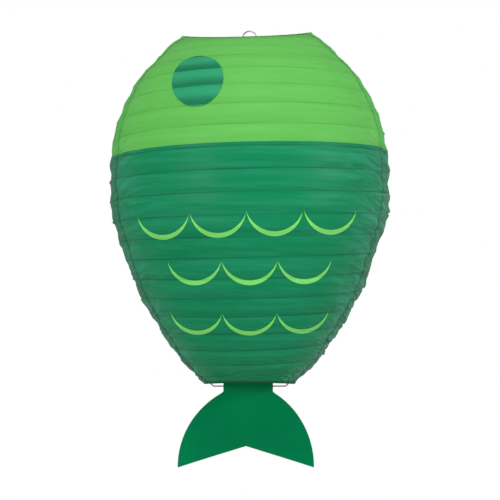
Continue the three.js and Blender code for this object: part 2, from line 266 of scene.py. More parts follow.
def stretched(angle, arc, out=0.0):
    """Points of the smooth surface at angles from +X by the front, and lengths down from the top ring."""
    angle, arc = np.broadcast_arrays(np.asarray(angle, float), np.asarray(arc, float))
    r = np.interp(arc, PROFILE_ARC, PROFILE_R)
    z = np.interp(arc, PROFILE_ARC, PROFILE_Z)
    slope_r = np.interp(arc, PROFILE_ARC, SLOPE_R)
    slope_z = np.interp(arc, PROFILE_ARC, SLOPE_Z)
    loose = np.exp(-arc / SADDLE_REACH)
    lift = BOTTOM_SADDLE * np.exp((arc - LENGTH) / SADDLE_REACH) - TOP_SADDLE * loose
    c, s = np.cos(angle), np.sin(angle)
    r = r - slope_z * out
    x = r * c + TOP_SHIFT * loose
    z = z + slope_r * out + lift * fold(s) + TOP_TILT * loose * c
    return np.stack([x, -r * s, z], -1)


def rib_turn(angle, arc):
    """How many ribs down from the top ring a place is, whole on a rib."""
    return arc / RIB_PITCH - (angle - RIB_START) / (2 * math.pi)


def rib_arc(angle, turn):
    return RIB_PITCH * (turn + (angle - RIB_START) / (2 * math.pi))


WIDEST = max(r for r, _ in OUTLINE) * MM
SAG = 1.15 * MM  # how deep the paper sinks between two ribs, by the sides
BILLOW = 0.75 * MM  # how far it stands out between them at the front and back
SLANT = 0.24  # a slanting crease's drop from front to side, as a share of the widest radius
SLACK_ARC, SLACK_REACH = 0.205, 0.042  # where the paper is slackest by the sides, and over what length
RING_RISE = 2.5 * MM  # over this length the paper climbs onto a ring
RING_LIFT = 1.1 * MM  # how far it has climbed on the ring
END_FADE = 6 * MM  # over this length from a ring the relief fades in
CRUMPLE_DEPTH = 4 * MM  # of the facets where the paper is slackest
MID_FOLD_DEPTH = 0.28 * MM
CREASE_DEPTH = 0.16 * MM
GATHER_HEIGHT = 0.3 * MM
WIRE_SHOW = 0.16 * MM  # how far the rib raises the paper


def paper_noise(angle, arc, across, down, seed, kind=noise):
    """Noise on the paper, in cells of a size round the lantern's widest place and down the paper."""
    cells = round(2 * math.pi * WIDEST / across)
    return kind(angle * cells / (2 * math.pi), arc / down, seed, cells)


def seam_side(angle):
    """Signed angle to the nearest side of the lantern, and 1 on the side towards +X, else 0."""
    whole = np.mod(angle, 2 * math.pi)
    signed = np.mod(whole + math.pi / 2, math.pi) - math.pi / 2
    return signed, 0.5 + 0.5 * np.sign(np.cos(whole))


def slanted(angle, arc):
    """A length down the paper whose level lines run down towards both sides of the lantern."""
    return arc + SLANT * WIDEST * fold(np.sin(angle))


def by_sides(angle, arc):
    """How slack the paper is, from 0 to 1: most on the dark paper by the sides, towards +X above all."""
    signed, right = seam_side(angle)
    near = 1 - smoothstep(0.2, 1.05, np.abs(signed))
    dark = 0.35 + 0.65 * smoothstep(0.13, 0.18, arc)
    return near * dark * (0.6 + 0.4 * right)


def crumple(angle, arc):
    """Flat facets and sharp slanting creases, from -1 to 1."""
    slid = slanted(angle, arc)
    broad = paper_noise(angle, slid, 0.026, 0.013, 6, facets)
    narrow = paper_noise(angle, slid, 0.034, 0.0070, 7, facets)
    small = paper_noise(angle, arc, 0.012, 0.009, 9, facets)
    return 0.52 * broad + 0.4 * narrow + 0.08 * small


def relief(angle, arc):
    """How far the pleated paper stands out from the smooth surface through the ribs."""
    turn = rib_turn(angle, arc)
    across = turn - np.floor(turn)
    signed, right = seam_side(angle)
    near_seam = 1 - smoothstep(0.15, 0.7, np.abs(signed))

    # Between two ribs the paper sinks by the sides and billows out at the front and back, unevenly.
    broad, narrow = paper_noise(angle, arc, 0.060, 0.031, 1), paper_noise(angle, arc, 0.022, 0.015, 2)
    uneven = 1 + 0.4 * broad + 0.2 * narrow
    slack = np.exp(-(((arc - SLACK_ARC) / SLACK_REACH) ** 2)) * (0.5 + 0.5 * right)
    tight = 0.25 + 0.75 * smoothstep(0, 0.045, arc) * smoothstep(0, 0.06, LENGTH - arc)
    bow = 0.55 * 4 * across * (1 - across) + 0.45 * np.sin(math.pi * across) ** 2
    sunk = SAG * (1 + near_seam * (1.5 * slack - 0.35))
    away = (sunk * near_seam - BILLOW * (1 - near_seam)) * uneven * tight * bow

    # The fold that lets the paper lie flat: a thin line that comes and goes near the middle of a band.
    middle = 0.5 + 0.12 * paper_noise(angle, arc, 0.110, 0.023, 3)
    shown = smoothstep(-0.25, 0.45, paper_noise(angle, arc, 0.075, 0.013, 10))
    folded = np.exp(-(((across - middle) / 0.04) ** 2)) * MID_FOLD_DEPTH * shown

    # Long thin creases along the bands, and soft fine waves between them.
    edges = smoothstep(0, 0.10, across) * smoothstep(0, 0.10, 1 - across)
    line = np.maximum(0, 1 - np.abs(paper_noise(angle, arc, 0.085, 0.0075, 12)) / 0.16)
    line = line * (0.7 + 1.0 * smoothstep(0.17, 0.24, arc))
    fine = paper_noise(angle, arc, 0.035, 0.0042, 4) + 0.6 * paper_noise(angle, arc, 0.018, 0.0026, 5)
    creased = -CREASE_DEPTH * line + fine * (0.07 + 0.10 * near_seam) * MM
    slanting = crumple(angle, arc) * by_sides(angle, arc) * CRUMPLE_DEPTH

    # Gathers where the paper is crowded towards the two mouths.
    crowd = np.exp(-arc / 0.03) * 0.4 + np.exp((arc - LENGTH) / 0.07) * 0.9
    gathers = (1 - 2 * np.abs(paper_noise(angle, arc, 0.022, 0.030, 8))) * crowd * GATHER_HEIGHT

    # The wire shows through as a small raised line.
    distance = np.minimum(across, 1 - across) * RIB_PITCH
    wire = WIRE_SHOW * np.exp(-((distance / (0.8 * MM)) ** 2))
    ends = smoothstep(0, END_FADE, arc) * smoothstep(0, END_FADE, LENGTH - arc)
    over_ring = np.exp(-((arc / RING_RISE) ** 2)) + np.exp(-(((LENGTH - arc) / RING_RISE) ** 2))
    return (-away - folded + (creased + slanting + gathers) * edges + wire) * ends + over_ring * RING_LIFT


def paper(angle, arc, out=0.0):
    """Points of the pleated paper, or of something that lies `out` off it."""
    return stretched(angle, arc, relief(angle, arc) + out)


# ---- Mesh tools --------------------------------------------------------------------------------


def new_object(name, points, faces, smooth=True):
    mesh = bpy.data.meshes.new(name)
    mesh.from_pydata(np.asarray(points, float).reshape(-1, 3).tolist(), [], faces)
    mesh.validate()
    mesh.update()
    mesh.shade_smooth() if smooth else mesh.shade_flat()
    piece = bpy.data.objects.new(name, mesh)
    bpy.context.scene.collection.objects.link(piece)
    return piece


def grid_faces(rows, columns, wrap_rows=False, wrap_columns=False):
    """Quads over a grid of points stored row by row, anticlockwise as i and then j grow."""
    faces = []
    for j in range(rows if wrap_rows else rows - 1):
        for i in range(columns if wrap_columns else columns - 1):
            k = (i + 1) % columns
            below = ((j + 1) % rows) * columns
            faces.append((j * columns + i, below + i, below + k, j * columns + k))
    return faces


def cleaned(piece, merge=2e-6):
    """Merges points that meet and drops faces without area."""
    bm = bmesh.new()
    bm.from_mesh(piece.data)
    bmesh.ops.remove_doubles(bm, verts=bm.verts, dist=merge)
    bmesh.ops.dissolve_degenerate(bm, edges=bm.edges, dist=merge)
    loose = [v for v in bm.verts if not v.link_faces]
    bmesh.ops.delete(bm, geom=loose, context="VERTS")
    bm.to_mesh(piece.data)
    bm.free()
    return piece


def tube(name, points, radius, sides=12, closed=False, ends=0.0):
    """A round wire along points, with slightly domed ends of the given length."""
    p = np.array(points, float)
    ahead = np.roll(p, -1, 0) - p
    ahead /= np.linalg.norm(ahead, axis=1)[:, None]
    if not closed:
        ahead[-1] = ahead[-2]
    behind = np.roll(ahead, 1, 0)
    if not closed:
        behind[0] = ahead[0]
    tangent = ahead + behind
    tangent /= np.linalg.norm(tangent, axis=1)[:, None]
    up = np.array([0.0, 1.0, 0.0]) if abs(tangent[0, 1]) < 0.9 else np.array([1.0, 0.0, 0.0])
    normal = np.cross(up, tangent[0])
    normals = []
    for t in tangent:
        normal = normal - t * np.dot(normal, t)
        normal /= np.linalg.norm(normal)
        normals.append(normal)
    normals = np.array(normals)
    if closed:  # shares out the twist that is left after one turn
        side = np.cross(tangent[0], normals[0])
        twist = math.atan2(np.dot(normals[-1], side), np.dot(normals[-1], normals[0]))
        turn = -twist * np.arange(len(p)) / len(p)
        other = np.cross(tangent, normals)
        normals = normals * np.cos(turn)[:, None] + other * np.sin(turn)[:, None]
    other = np.cross(tangent, normals)
    size = np.full(len(p), radius)
    if not closed and ends:
        p = np.vstack([p[0] - tangent[0] * ends, p, p[-1] + tangent[-1] * ends])
        size = np.r_[radius * 0.6, size, radius * 0.6]
        normals = np.vstack([normals[0], normals, normals[-1]])
        other = np.vstack([other[0], other, other[-1]])
    around = np.linspace(0, 2 * math.pi, sides, endpoint=False)
    ring = normals[:, None] * np.cos(around)[None, :, None] + other[:, None] * np.sin(around)[None, :, None]
    shell = p[:, None] + ring * size[:, None, None]
    rows = len(p)
    faces = [tuple(reversed(f)) for f in grid_faces(rows, sides, wrap_rows=closed, wrap_columns=True)]
    if not closed:
        faces.append(tuple(range(sides)))
        faces.append(tuple(reversed(range((rows - 1) * sides, rows * sides))))
    return new_object(name, shell, faces)


def bend(x, z, radius, start, end, steps=10):
    """Points of an arc in the XZ plane, in degrees from +X towards +Z."""
    angles = np.radians(np.linspace(start, end, steps + 1))
    return np.stack([x + radius * np.cos(angles), 0 * angles, z + radius * np.sin(angles)], 1)


# ---- Materials ---------------------------------------------------------------------------------


def linear(r, g, b):
    """A colour given in sRGB bytes, as the linear values that shaders take."""
    return (*(((c / 255 + 0.055) / 1.055) ** 2.4 if c > 10 else c / 255 / 12.92 for c in (r, g, b)), 1)


class Nodes:
    """A material's node tree, with short calls to add and join nodes."""

    def __init__(self, name):
        self.material = bpy.data.materials.new(name)
        self.material.use_nodes = True
        self.tree = self.material.node_tree
        self.shader = self.tree.nodes["Principled BSDF"]
        self.output = self.tree.nodes["Material Output"]

    def add(self, kind, **settings):
        node = self.tree.nodes.new(kind)
        for key, value in settings.items():
            setattr(node, key, value)
        return node

    def join(self, source, target):
        self.tree.links.new(source, target)

    def coordinates(self, scale=(1, 1, 1)):
        source = self.add("ShaderNodeTexCoord")
        mapping = self.add("ShaderNodeMapping")
        mapping.inputs["Scale"].default_value = scale
        self.join(source.outputs["Object"], mapping.inputs["Vector"])
        return mapping.outputs["Vector"]

    def noise(self, vector, scale, detail=3.0, roughness=0.5):
        node = self.add("ShaderNodeTexNoise")
        node.inputs["Scale"].default_value = scale
        node.inputs["Detail"].default_value = detail
        node.inputs["Roughness"].default_value = roughness
        self.join(vector, node.inputs["Vector"])
        return node.outputs["Fac"]

    def ramp(self, fac, stops):
        node = self.add("ShaderNodeValToRGB")
        elements = node.color_ramp.elements
        while len(elements) < len(stops):
            elements.new(0.5)
        for element, (place, colour) in zip(elements, stops):
            element.position = place
            element.color = colour if len(colour) == 4 else (*colour, 1)
        self.join(fac, node.inputs["Fac"])
        return node.outputs["Color"]

    def mix(self, fac, first, second, mode="MIX"):
        node = self.add("ShaderNodeMix", data_type="RGBA", blend_type=mode)
        for socket, value in ((node.inputs[0], fac), (node.inputs[6], first), (node.inputs[7], second)):
            if isinstance(value, bpy.types.NodeSocket):
                self.join(value, socket)
            else:
                socket.default_value = value
        return node.outputs[2]

    def maths(self, operation, first, second=0.0):
        node = self.add("ShaderNodeMath", operation=operation)
        for socket, value in zip(node.inputs, (first, second), strict=False):
            if isinstance(value, bpy.types.NodeSocket):
                self.join(value, socket)
            else:
                socket.default_value = value
        return node.outputs["Value"]

    def bump(self, height, strength, distance, before=None):
        node = self.add("ShaderNodeBump")
        node.inputs["Strength"].default_value = strength
        node.inputs["Distance"].default_value = distance
        self.join(height, node.inputs["Height"])
        if before:
            self.join(before, node.inputs["Normal"])
        return node.outputs["Normal"]


SHADE = 0.74  # how dark the painted shade is along the ribs, low in each band and in crease valleys, against the deep tone


def tissue(name, colour, deep, pale_fibre_and_highlight, through, gloss=0.3, line=0.5, band_shade=0.1):
    """Thin dyed tissue: fibres, streaks, painted shade along the ribs, low in each band and in crease
    valleys, and painted highlights on crease crests and crumpled facets.
    """
    n = Nodes(name)
    place = n.coordinates()
    cloudy = n.noise(place, 9, 3)
    streaks = n.noise(n.coordinates((9, 9, 190)), 1, 4, 0.65)
    fibres = n.noise(n.coordinates((1, 1, 3.5)), 900, 6, 0.7)
    stored = ("rib", "low", "crease", "slack", "flow")
    rib, low, crease, slack, flow = (n.add("ShaderNodeAttribute", attribute_name=kept) for kept in stored)
    drawn = n.add("ShaderNodeMapping")
    drawn.inputs["Scale"].default_value = (20, 100, 1)
    n.join(flow.outputs["Vector"], drawn.inputs["Vector"])
    wrinkles = n.maths("ABSOLUTE", n.maths("SUBTRACT", n.noise(drawn.outputs["Vector"], 1, 2, 0.45), 0.5))
    loose = n.maths("MULTIPLY", wrinkles, slack.outputs["Fac"])
    shade = linear(*(SHADE * part for part in deep))
    # Painted shade along the valley lines of the slack paper's wrinkles, and painted highlights on their
    # crests.
    creases = n.ramp(wrinkles, [(0, (0.75,) * 3), (0.022, (0,) * 3)])
    valley_shade = n.maths("MULTIPLY", creases, slack.outputs["Fac"])
    crests = n.ramp(wrinkles, [(0.07, (0,) * 3), (0.18, (0.5,) * 3)])
    crest_highlight = n.maths("MULTIPLY", crests, slack.outputs["Fac"])

    toned = n.mix(n.maths("MULTIPLY", cloudy, 0.35), linear(*colour), linear(*deep))
    streaked = n.ramp(streaks, [(0.42, (0, 0, 0)), (0.85, (0.3, 0.3, 0.3))])
    brushed = n.mix(streaked, toned, linear(*pale_fibre_and_highlight))
    speckled = n.mix(n.maths("MULTIPLY", fibres, 0.14), brushed, linear(*pale_fibre_and_highlight))
    # Painted shade: darker towards the lower rib of each band.
    band_shaded = n.mix(n.maths("MULTIPLY", low.outputs["Fac"], band_shade), speckled, shade)
    # Painted shade in wrinkle valleys and painted highlights on wrinkle crests.
    crease_shade_and_highlight = n.mix(crest_highlight, n.mix(valley_shade, band_shaded, shade), linear(*pale_fibre_and_highlight))
    # Painted highlights: paler on crumpled facets and along thin creases by the sides.
    overlaid = n.mix(n.maths("MULTIPLY", crease.outputs["Fac"], 0.8), crease_shade_and_highlight, linear(*pale_fibre_and_highlight))
    # Painted shade: darker along each rib and just above the bottom ring, for the wire's shadow through the
    # paper and the groove's shade there.
    rib_line_shade = n.mix(n.maths("MULTIPLY", rib.outputs["Fac"], line), overlaid, shade)
    n.join(rib_line_shade, n.shader.inputs["Base Color"])
    rough = n.ramp(fibres, [(0.3, (0.36, 0.36, 0.36)), (0.7, (0.50, 0.50, 0.50))])
    n.join(rough, n.shader.inputs["Roughness"])
    sheen = n.maths("ADD", n.maths("MULTIPLY", slack.outputs["Fac"], 0.4), gloss)
    n.join(sheen, n.shader.inputs["Specular IOR Level"])
    grain = n.bump(fibres, 0.2, 0.0002)
    crumpled = n.noise(n.coordinates((1, 1, 2.2)), 160, 5, 0.6)
    soft = n.bump(streaks, 0.25, 0.0004, n.bump(crumpled, 0.22, 0.0005, grain))
    normal = n.bump(loose, 1, 0.010, soft)
    n.join(normal, n.shader.inputs["Normal"])
    glow = n.add("ShaderNodeBsdfTranslucent")
    n.join(rib_line_shade, glow.inputs["Color"])
    n.join(normal, glow.inputs["Normal"])
    mixed = n.add("ShaderNodeMixShader")
    mixed.inputs["Fac"].default_value = through
    n.join(n.shader.outputs["BSDF"], mixed.inputs[1])
    n.join(glow.outputs["BSDF"], mixed.inputs[2])
    n.join(mixed.outputs["Shader"], n.output.inputs["Surface"])
    return n.material


def card_stock():
    """Smooth coated card, dyed through, a little uneven, with fine horizontal rolling marks."""
    n = Nodes("tail_card_stock")
    place = n.coordinates()
    cloudy = n.noise(place, 14, 3)
    rolled = n.noise(n.coordinates((30, 30, 300)), 6, 3)
    grain = n.noise(place, 1400, 4, 0.6)
    dyed = n.ramp(cloudy, [(0.3, linear(0, 101, 60)), (0.7, linear(0, 112, 66))])
    overlaid = n.mix(n.maths("MULTIPLY", grain, 0.03), dyed, linear(20, 140, 90))
    n.join(overlaid, n.shader.inputs["Base Color"])
    rough = n.ramp(rolled, [(0.2, (0.34, 0.34, 0.34)), (0.8, (0.46, 0.46, 0.46))])
    n.join(rough, n.shader.inputs["Roughness"])
    n.shader.inputs["Specular IOR Level"].default_value = 0.02
    n.join(n.bump(grain, 0.12, 0.0001, n.bump(rolled, 0.08, 0.0004)), n.shader.inputs["Normal"])
    return n.material


def card_edge():
    """The cut edge of the card, where paler fibres show."""
    n = Nodes("tail_card_edge")
    fibres = n.noise(n.coordinates((1, 6, 1)), 1600, 4, 0.7)
    tone = n.ramp(fibres, [(0.3, linear(20, 112, 72)), (0.75, linear(96, 170, 130))])
    n.join(tone, n.shader.inputs["Base Color"])
    n.shader.inputs["Roughness"].default_value = 0.85
    n.join(n.bump(fibres, 0.5, 0.0001), n.shader.inputs["Normal"])
    return n.material


def drawn_wire(name, tone, shade):
    """Galvanised steel wire: draw lines along it, dull zinc spangle and small dark marks."""
    n = Nodes(name)
    place = n.coordinates()
    spangle = n.noise(place, 420, 4, 0.6)
    marks = n.noise(place, 95, 5, 0.65)
    colour = n.ramp(spangle, [(0.3, linear(*shade)), (0.7, linear(*tone))])
    overlaid = n.mix(n.ramp(marks, [(0.60, (0, 0, 0)), (0.72, (0.5, 0.5, 0.5))]), colour, linear(96, 94, 90))
    n.join(overlaid, n.shader.inputs["Base Color"])
    n.shader.inputs["Metallic"].default_value = 0.85
    rough = n.ramp(spangle, [(0.25, (0.26, 0.26, 0.26)), (0.75, (0.46, 0.46, 0.46))])
    n.join(rough, n.shader.inputs["Roughness"])
    n.join(n.bump(spangle, 0.2, 0.0001), n.shader.inputs["Normal"])
    return n.material


LIGHT = tissue("light_tissue", (108, 200, 90), (86, 182, 72), (140, 222, 130), 0.40, 0.08, 0.45, 0.08)
LIGHT_BACK = tissue("light_tissue_back", (92, 202, 84), (68, 180, 66), (128, 216, 126), 0.40, 0.1, 0.4, 0.08)
DARK = tissue("dark_tissue", (1, 130, 80), (0, 102, 62), (74, 172, 144), 0.24, 0.05, 0.9, 0.12)
# The back's dark paper is a slightly greyer copy of the front's: painted sheen of paper seen at a grazing
# angle by the seams.
DARK_BACK = tissue("dark_tissue_back", (8, 124, 82), (4, 98, 66), (92, 170, 140), 0.28, 0.08, 0.8, 0.1)
# The eye's base colour is lighter than the body's dark paper: a painted sheen. Its high band share paints
# strong shade towards the lower rib of each band.
EYE = tissue("eye_tissue", (40, 150, 104), (12, 122, 78), (84, 178, 140), 0.2, 0.08, 1, 0.7)
LEAF = tissue("scale_tissue", (118, 214, 98), (90, 188, 78), (160, 232, 152), 0.15, 0.1, 0.6, 0.1)
# The rims are the panels' own tissue in much darker greens: painted shade along the top and bottom rings.
RIM_SHADE = tissue("rim_tissue", (26, 98, 26), (18, 78, 18), (60, 146, 54), 0.1, 0.1)
DARK_RIM_SHADE = tissue("dark_rim_tissue", (1, 70, 46), (1, 52, 36), (30, 104, 80), 0.1, 0.1)
CARD_STOCK = card_stock()
CARD_EDGE = card_edge()
WIRE = drawn_wire("frame_wire", (196, 196, 198), (150, 150, 152))
DARK_WIRE = drawn_wire("rib_wire", (120, 120, 118), (84, 84, 82))


def dress(piece, *materials):
    for material in materials:
        piece.data.materials.append(material)
    return piece


RIB_LINE = 0.6 * MM  # how wide the painted shade line along each rib is


def mark_paper(piece, angle, arc):
    """Stores what the tissue material reads: nearness to a rib, place in a band, creases and slack, which set
    where it paints shade and highlights.
    """
    turn = rib_turn(angle, arc)
    across = turn - np.floor(turn)
    distance = np.minimum(across, 1 - across) * RIB_PITCH
    # Painted shade along each rib, uneven along its length.
    rib = np.exp(-((distance / RIB_LINE) ** 2)) * (0.62 + 0.38 * paper_noise(angle, arc, 0.04, 0.02, 13))
    # Painted shade in a band just above the bottom ring.
    rib = np.maximum(rib, smoothstep(LENGTH - 5 * MM, LENGTH - 2.5 * MM, arc))
    # Where the tissue paints shade: from the middle of a band down to its lower rib.
    low = smoothstep(0.35, 0.95, across)
    loose = by_sides(angle, arc)
    # Painted highlights on crumpled facets and along thin creases by the sides, stronger towards +X.
    facet = smoothstep(0.25, 0.8, paper_noise(angle, slanted(angle, arc), 0.026, 0.013, 6, facets))
    thin = np.maximum(0, 1 - np.abs(paper_noise(angle, slanted(angle, arc), 0.030, 0.007, 14)) / 0.14)
    painted_highlight = loose * (0.12 + 0.5 * facet + 0.35 * thin) * (0.6 + 0.4 * seam_side(angle)[1])
    slack = 0.04 + loose + 0.3 * np.exp((arc - LENGTH) / 0.04)
    for name, values in (("rib", rib), ("low", low), ("crease", painted_highlight), ("slack", slack)):
        layer = piece.data.attributes.new(name, "FLOAT", "POINT")
        layer.data.foreach_set("value", np.broadcast_to(values, angle.shape).astype(np.float32).ravel())
    flow = np.stack([angle * WIDEST, slanted(angle, arc), 0 * arc], -1)
    layer = piece.data.attributes.new("flow", "FLOAT_VECTOR", "POINT")
    layer.data.foreach_set("vector", flow.astype(np.float32).ravel())


# ---- Paper panels ------------------------------------------------------------------------------

# Where the rows of points lie between one rib, at 0, and the next, at 1: closer by the ribs.
BAND_STEPS = (
    0, 0.03, 0.07, 0.12, 0.18, 0.25, 0.32, 0.38, 0.44,
    0.5, 0.56, 0.62, 0.68, 0.75, 0.82, 0.88, 0.93, 0.97,
)
COLUMN_PITCH = 1.9 * MM  # at the widest place
HEAD_LAP = 6 * MM  # the head's paper goes on this far behind the body's
BODY_OVER = 0.2 * MM  # the body's paper lies this far over the head's
BACK_OVER = 0.4 * MM  # the back papers lie this far over the front ones
RIGHT_SEAM, LEFT_SEAM = SEAM_ANGLE, math.pi - SEAM_ANGLE
SPANS = {
    "front": (RIGHT_SEAM - SEAM_LAP / 2, LEFT_SEAM + SEAM_LAP / 2),
    "back": (LEFT_SEAM - SEAM_LAP / 2, 2 * math.pi + RIGHT_SEAM + SEAM_LAP / 2),
}


def colour_edge(angle):
    """Where the dark paper starts: along a rib on the front, and straight from seam to seam on the back."""
    on_rib = rib_arc(angle, COLOUR_RIB) - COLOUR_LAP
    left, right = (rib_arc(seam, COLOUR_RIB) - COLOUR_LAP for seam in (LEFT_SEAM, RIGHT_SEAM))
    share = (angle - LEFT_SEAM) / (2 * math.pi + RIGHT_SEAM - LEFT_SEAM)
    return np.where(angle <= LEFT_SEAM + SEAM_LAP, on_rib, left + (right - left) * share)


def panel(name, half, start_arc, end_arc, out):
    """A paper panel from one seam to the other, its rows along the ribs. Each arc is a function of angle."""
    first, last = SPANS[half]
    angles = np.linspace(last, first, round((last - first) * WIDEST / COLUMN_PITCH) + 1)
    turns = np.array([band + step for band in range(-2, 24) for step in BAND_STEPS])
    angle, turn = np.meshgrid(angles, turns)
    arc = np.clip(rib_arc(angle, turn), start_arc(angle), end_arc(angle))
    inside = (arc > start_arc(angle)).any(1) & (arc < end_arc(angle)).any(1)
    kept = inside | np.roll(inside, 1) | np.roll(inside, -1)
    angle, arc = angle[kept], arc[kept]
    piece = new_object(name, paper(angle, arc, out), grid_faces(*angle.shape))
    mark_paper(piece, angle, arc)
    middle = (first + last) / 2
    start, end = float(start_arc(middle)), float(end_arc(middle))
    return cleaned(piece)


SHELL = []  # the pieces that fold up with the paper


def place_panels(half, light, dark, lift):
    """The head's and the body's paper of one half, `lift` outside the paper's own surface."""
    head = panel(f"head_{half}", half, lambda a: HEM_DEPTH + 0 * a, lambda a: colour_edge(a) + HEAD_LAP, lift)
    body = panel(f"body_{half}", half, colour_edge, lambda a: LENGTH - HEM_DEPTH + 0 * a, lift + BODY_OVER)
    dress(head, light)
    dress(body, dark)
    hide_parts(f"head_paper_{half}")
    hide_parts(f"body_paper_{half}")
    SHELL.extend([head, body])


place_panels("front", LIGHT, DARK, 0)
place_panels("back", LIGHT_BACK, DARK_BACK, BACK_OVER)

# ---- Pasted patches ----------------------------------------------------------------------------

PATCH_LIFT = {1: 0.6 * MM, -1: 1 * MM}  # off the smooth paper, on the front and on the back


def place_patch(side, x, z):
    """Points on the pleated paper that lie at x and a height, seen square on from the front or back."""
    aim_x, aim_z = x, z
    for _ in range(4):
        arc = np.interp(-aim_z, -PROFILE_Z, PROFILE_ARC)
        radius = np.interp(arc, PROFILE_ARC, PROFILE_R)
        angle = np.mod(side * np.arccos(np.clip(aim_x / radius, -1, 1)), 2 * math.pi)
        points = paper(angle, arc, PATCH_LIFT[side])
        moved = points - stretched(angle, arc)
        aim_x, aim_z = x - moved[..., 0], z - moved[..., 2]
    return points, angle, arc


def patch(name, side, x, z, node, material):
    """A thin patch that follows the pleated paper over a grid of places."""
    rows, columns = x.shape
    points, angle, arc = place_patch(side, x, z)
    faces = grid_faces(rows, columns)
    if side > 0:
        faces = [tuple(reversed(f)) for f in faces]
    piece = new_object(name, points, faces)
    mark_paper(piece, angle, arc)
    cleaned(piece)
    dress(piece, material)
    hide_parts(node)
    return piece


def disc_grid(steps):
    """A square grid pulled out to a round disc of radius one."""
    a, b = np.meshgrid(np.linspace(-1, 1, steps), np.linspace(-1, 1, steps))
    return a * np.sqrt(1 - b * b / 2), b * np.sqrt(1 - a * a / 2)


def arc_depth(x, sagitta):
    radius = (SCALE_HALF_WIDTH**2 + sagitta**2) / (2 * sagitta)
    return np.sqrt(radius**2 - x**2) - (radius - sagitta)


for half, side in (("front", 1), ("back", -1)):
    u, v = disc_grid(61)
    eye = patch(
        f"eye_disc_{half}", side, EYE_X + EYE_HALF_WIDTH * u, EYE_Z + EYE_HALF_HEIGHT * v,
        f"eye_{half}", EYE,
    )
    SHELL.append(eye)
    count = 0
    for tip_z, climb, centres in SCALE_ROWS:
        for centre in centres:
            count += 1
            swing = np.linspace(-1, 1, 61) * math.pi / 2
            across = SCALE_HALF_WIDTH * np.sin(swing)
            share = np.linspace(0, 1, 7)[:, None]
            low, high = arc_depth(across, SCALE_DEPTH), arc_depth(across, SCALE_DEPTH - SCALE_THICK)
            depth = low + (high - low) * share
            x = np.broadcast_to(centre * MM + across, depth.shape)
            leaf = patch(
                f"scale_leaf_{half}_{count}", side, x, tip_z + climb * centre * MM - depth,
                f"scale_{half}_{count}", LEAF,
            )
            SHELL.append(leaf)


# ---- Rings, hems and the spiral rib ------------------------------------------------------------

ROUND = np.linspace(0, 2 * math.pi, 240, endpoint=False)
RING_ROLL = 1.05 * MM  # radius of the paper's edge where it is rolled over a ring
RIB_DEPTH = 0.3 * MM  # how far the rib's centre lies inside the paper's smooth surface


def ring_frame(arc):
    """Centres of a ring with, at each, the way down the paper and the way out of it."""
    inward = 1 if arc < LENGTH / 2 else -1
    centre = stretched(ROUND, arc)
    down = (stretched(ROUND, arc + inward * MM) - centre) / MM
    out = (stretched(ROUND, arc, MM) - centre) / MM
    return centre, down, out


def ring(name, arc, node):
    piece = tube(name, stretched(ROUND, arc), RING_RADIUS, 12, closed=True)
    dress(piece, DARK_WIRE)
    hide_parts(node)
    return piece


def hem(name, arc, node, material):
    """The paper's edge rolled over the ring and glued down inside, its flap a little wavy."""
    centre, down, out = ring_frame(arc)
    roll = np.radians(np.linspace(75, 285, 15))
    # Lengths down the paper and out of it: the edge outside, the roll, and the flap inside.
    # The edge outside carries the rim's darker colour a little way down the paper: painted shade along the
    # ring.
    section = [(2.2 * MM, 0.75 * MM), (1.2 * MM, 1.0 * MM)]
    section += [(RING_ROLL * math.cos(a), RING_ROLL * math.sin(a)) for a in roll]
    section += [(d * MM, -0.9 * MM) for d in (1.6, 2.6, 3.8, 5, 6.2)]
    points = []
    for k, (a, b) in enumerate(section):
        flap = smoothstep(1.5 * MM, 6 * MM, a) * (k > len(roll))
        wave = noise(ROUND * 14, 0 * ROUND + k * 0.1, 21) * 0.9 * MM * flap
        crimp = ridges(ROUND * 34, 0 * ROUND + k * 0.25, 22) * 0.14 * MM
        reach = a * (1 + 0.22 * noise(ROUND * 9, 0 * ROUND, 23) * flap)
        points.append(centre + down * np.reshape(reach, (-1, 1)) + out * (b - np.abs(wave) + crimp)[:, None])
    faces = grid_faces(len(section), len(ROUND), wrap_columns=True)
    piece = new_object(name, points, faces)
    dress(piece, material)
    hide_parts(node)
    return piece


top_ring = ring("top_ring_wire", 0, "top_ring")
bottom_ring = ring("bottom_ring_wire", LENGTH, "bottom_ring")
top_hem = hem("top_rim", 0, "top_hem", RIM_SHADE)
bottom_hem = hem("bottom_rim", LENGTH, "bottom_hem", DARK_RIM_SHADE)


def spiral():
    """The rib's wire, which runs once round the paper for each pitch, just inside it."""
    start_arc, end_arc = RIB_END_GAP, LENGTH - RIB_END_GAP
    turns = (end_arc - start_arc) / RIB_PITCH
    arc = np.linspace(start_arc, end_arc, int(turns * 96))
    angle = RIB_START + 2 * math.pi * arc / RIB_PITCH
    return tube("spiral_wire", stretched(angle, arc, -RIB_DEPTH), RIB_RADIUS, 6)


SHELL += [top_ring, top_hem]
rib = dress(spiral(), DARK_WIRE)
SHELL.append(rib)
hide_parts("rib_spiral")

# ---- Expander frame ----------------------------------------------------------------------------


